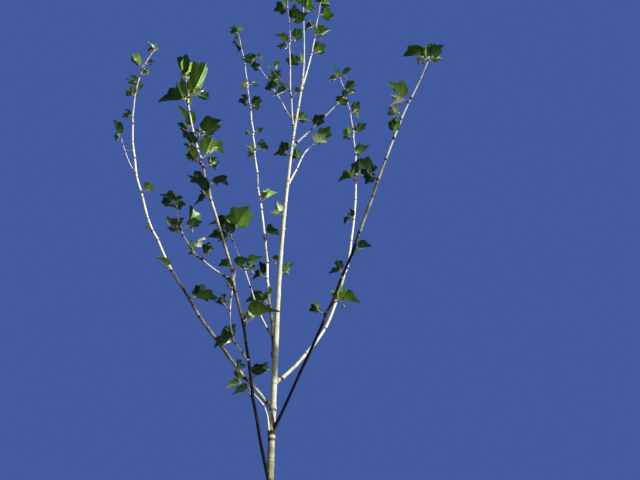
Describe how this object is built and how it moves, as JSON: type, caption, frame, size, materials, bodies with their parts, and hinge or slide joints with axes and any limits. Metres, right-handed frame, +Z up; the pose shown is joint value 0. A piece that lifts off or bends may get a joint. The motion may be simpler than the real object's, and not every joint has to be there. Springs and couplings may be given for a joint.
{
  "type": "young london plane tree",
  "caption": "Young open-crowned plane tree: a slender pale trunk with long rising boughs and loose tufts of lobed green leaves.",
  "frame": {"origin": "centre of the flat cut under the trunk, at ground level", "axes": "+Z up along the trunk, +X to the right and +Y away from the viewer as the picture shows the tree"},
  "size_m": [2.1967, 1.4949, 6.1589],
  "materials": {
    "trunk_bark": "smooth olive-tan young bark with fine pale rings and dark collars under the boughs",
    "bough_bark": "smooth cream to pale grey bark, pinkish on the thin upper shoots, dark at the nodes",
    "foliage": "matt to slightly glossy mid green blades with paler undersides, on thin pale twigs"
  },
  "bodies": {
    "root": {"bough_back_left": "bough_bark", "bough_far_left_high": "bough_bark", "bough_far_left_low": "bough_bark", "bough_far_right": "bough_bark", "bough_front_left": "bough_bark", "bough_inner_right_high": "bough_bark", "bough_inner_right_low": "bough_bark", "bough_left_side": "bough_bark", "bough_middle_side": "bough_bark", "bough_top_right": "bough_bark", "bough_up_front": "bough_bark", "bough_up_left": "bough_bark", "leaves_back_left_1": "foliage", "leaves_back_left_2": "foliage", "leaves_back_left_3": "foliage", "leaves_back_left_4": "foliage", "leaves_back_left_5": "foliage", "leaves_back_left_tip": "foliage", "leaves_far_left_1": "foliage", "leaves_far_left_3": "foliage", "leaves_far_left_4": "foliage", "leaves_far_left_5": "foliage", "leaves_far_left_7": "foliage", "leaves_far_left_tip": "foliage", "leaves_far_right_1": "foliage", "leaves_far_right_2": "foliage", "leaves_far_right_3": "foliage", "leaves_far_right_tip": "foliage", "leaves_front_left_1": "foliage", "leaves_front_left_2": "foliage", "leaves_front_left_4": "foliage", "leaves_front_left_tip": "foliage", "leaves_front_whip_tip": "foliage", "leaves_inner_right_1": "foliage", "leaves_inner_right_2": "foliage", "leaves_inner_right_tip": "foliage", "leaves_left_shoot_tip": "foliage", "leaves_left_side_tip": "foliage", "leaves_left_whip_tip": "foliage", "leaves_low_right_tip": "foliage", "leaves_low_stub_tip": "foliage", "leaves_middle_side_tip": "foliage", "leaves_top_right_tip": "foliage", "leaves_trunk_10": "foliage", "leaves_trunk_11": "foliage", "leaves_trunk_2": "foliage", "leaves_trunk_3": "foliage", "leaves_trunk_4": "foliage", "leaves_trunk_5": "foliage", "leaves_trunk_7": "foliage", "leaves_trunk_8": "foliage", "leaves_trunk_9": "foliage", "leaves_up_front_1": "foliage", "leaves_up_front_2": "foliage", "leaves_up_front_tip": "foliage", "leaves_up_left_tip": "foliage", "leaves_up_right_tip": "foliage", "trunk": "trunk_bark"}
  },
  "joints": []
}
